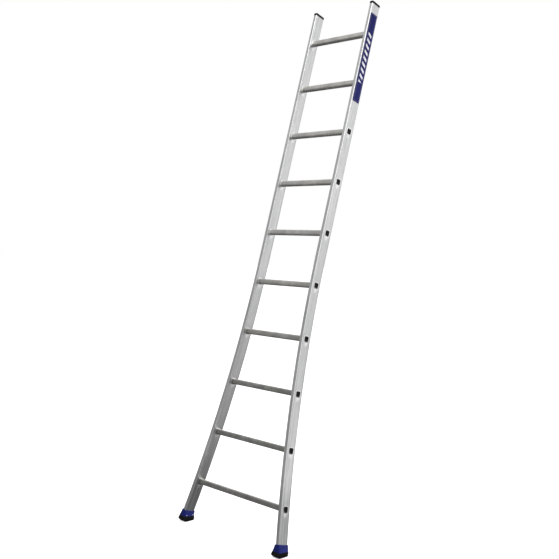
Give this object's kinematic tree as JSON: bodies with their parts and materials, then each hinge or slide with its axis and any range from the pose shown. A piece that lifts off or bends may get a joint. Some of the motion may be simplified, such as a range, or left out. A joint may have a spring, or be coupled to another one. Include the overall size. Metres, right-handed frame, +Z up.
{
  "type": "leaning ladder",
  "caption": "Single-section aluminium leaning ladder with splayed stiles, square hollow rungs, black end caps, blue shoes and black rubber soles, standing at its working angle",
  "frame": {"origin": "bottom centre of the bounding box, on the ground between the two feet and the top", "axes": "+X along the rungs to the ladder's right as a climber faces it, +Y the way the ladder leans, towards the wall, +Z up; the ladder leans 15 degrees from the vertical"},
  "size_m": [0.75, 0.8226, 2.8171],
  "materials": {
    "stile_aluminium": "satin extruded",
    "rung_aluminium": "satin extruded",
    "black_plastic": "moulded, matt",
    "blue_plastic": "moulded, semi-gloss",
    "sole_rubber": "matt",
    "rivet_steel": "plain",
    "navy_plate": "printed, semi-gloss"
  },
  "bodies": {
    "root": {"left_rung_plug_01": "black_plastic", "left_rung_plug_02": "black_plastic", "left_rung_plug_03": "black_plastic", "left_rung_plug_04": "black_plastic", "left_rung_plug_05": "black_plastic", "left_rung_plug_06": "black_plastic", "left_rung_plug_07": "black_plastic", "left_rung_plug_08": "black_plastic", "left_rung_plug_09": "black_plastic", "left_rung_plug_10": "black_plastic", "left_shoe": "blue_plastic", "left_shoe_rivets": "rivet_steel", "left_sole": "sole_rubber", "left_stile": "stile_aluminium", "left_top_cap": "black_plastic", "name_plate": "navy_plate", "right_rung_plug_01": "black_plastic", "right_rung_plug_02": "black_plastic", "right_rung_plug_03": "black_plastic", "right_rung_plug_04": "black_plastic", "right_rung_plug_05": "black_plastic", "right_rung_plug_06": "black_plastic", "right_rung_plug_07": "black_plastic", "right_rung_plug_08": "black_plastic", "right_rung_plug_09": "black_plastic", "right_rung_plug_10": "black_plastic", "right_shoe": "blue_plastic", "right_shoe_rivets": "rivet_steel", "right_sole": "sole_rubber", "right_stile": "stile_aluminium", "right_top_cap": "black_plastic", "rung_01": "rung_aluminium", "rung_02": "rung_aluminium", "rung_03": "rung_aluminium", "rung_04": "rung_aluminium", "rung_05": "rung_aluminium", "rung_06": "rung_aluminium", "rung_07": "rung_aluminium", "rung_08": "rung_aluminium", "rung_09": "rung_aluminium", "rung_10": "rung_aluminium"}
  },
  "joints": []
}
